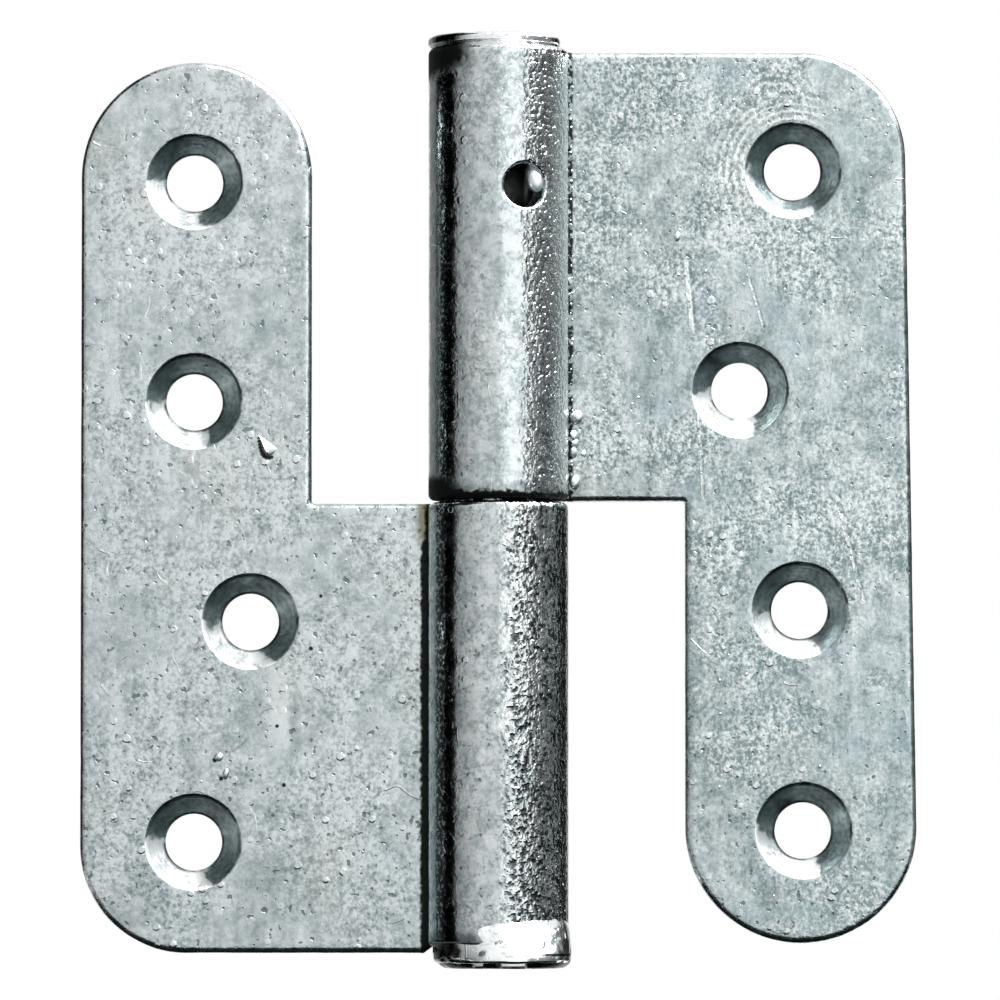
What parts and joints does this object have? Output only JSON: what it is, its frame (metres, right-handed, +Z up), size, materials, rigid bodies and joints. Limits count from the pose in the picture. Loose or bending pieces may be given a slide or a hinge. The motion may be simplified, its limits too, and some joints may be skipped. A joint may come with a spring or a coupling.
{
  "type": "lift-off butt hinge",
  "caption": "Lift-off butt hinge with two L-shaped sheet leaves, each rolled into a knuckle, turning on a headed pin; countersunk screw holes and an oil hole.",
  "frame": {"origin": "on the pin's axis at the joint between the two knuckles, which is the middle of the opened hinge", "axes": "+Z up along the pin, -Y out of the face with the countersinks, +X towards the door leaf"},
  "size_m": [0.1036, 0.0172, 0.1151],
  "materials": {
    "dipped_sheet": "hot-dip zinc, dull and mottled",
    "zinc_pin": "zinc coated, satin",
    "ball_steel": "polished bearing steel"
  },
  "bodies": {
    "frame_side": {"frame_leaf": "dipped_sheet", "hinge_pin": "zinc_pin"},
    "bearing": {"bearing_ball": "ball_steel"},
    "door_side": {"door_leaf": "dipped_sheet", "top_plug": "zinc_pin"}
  },
  "joints": [
    {"name": "swing", "type": "hinge", "parent": "frame_side", "child": "bearing", "pos_m": [0, 0, 0], "axis": [0, 0, 1], "range_deg": [-180, 150]},
    {"name": "lift_off", "type": "slide", "parent": "bearing", "child": "door_side", "axis": [0, 0, 1], "range_m": [0, 0.046]}
  ]
}
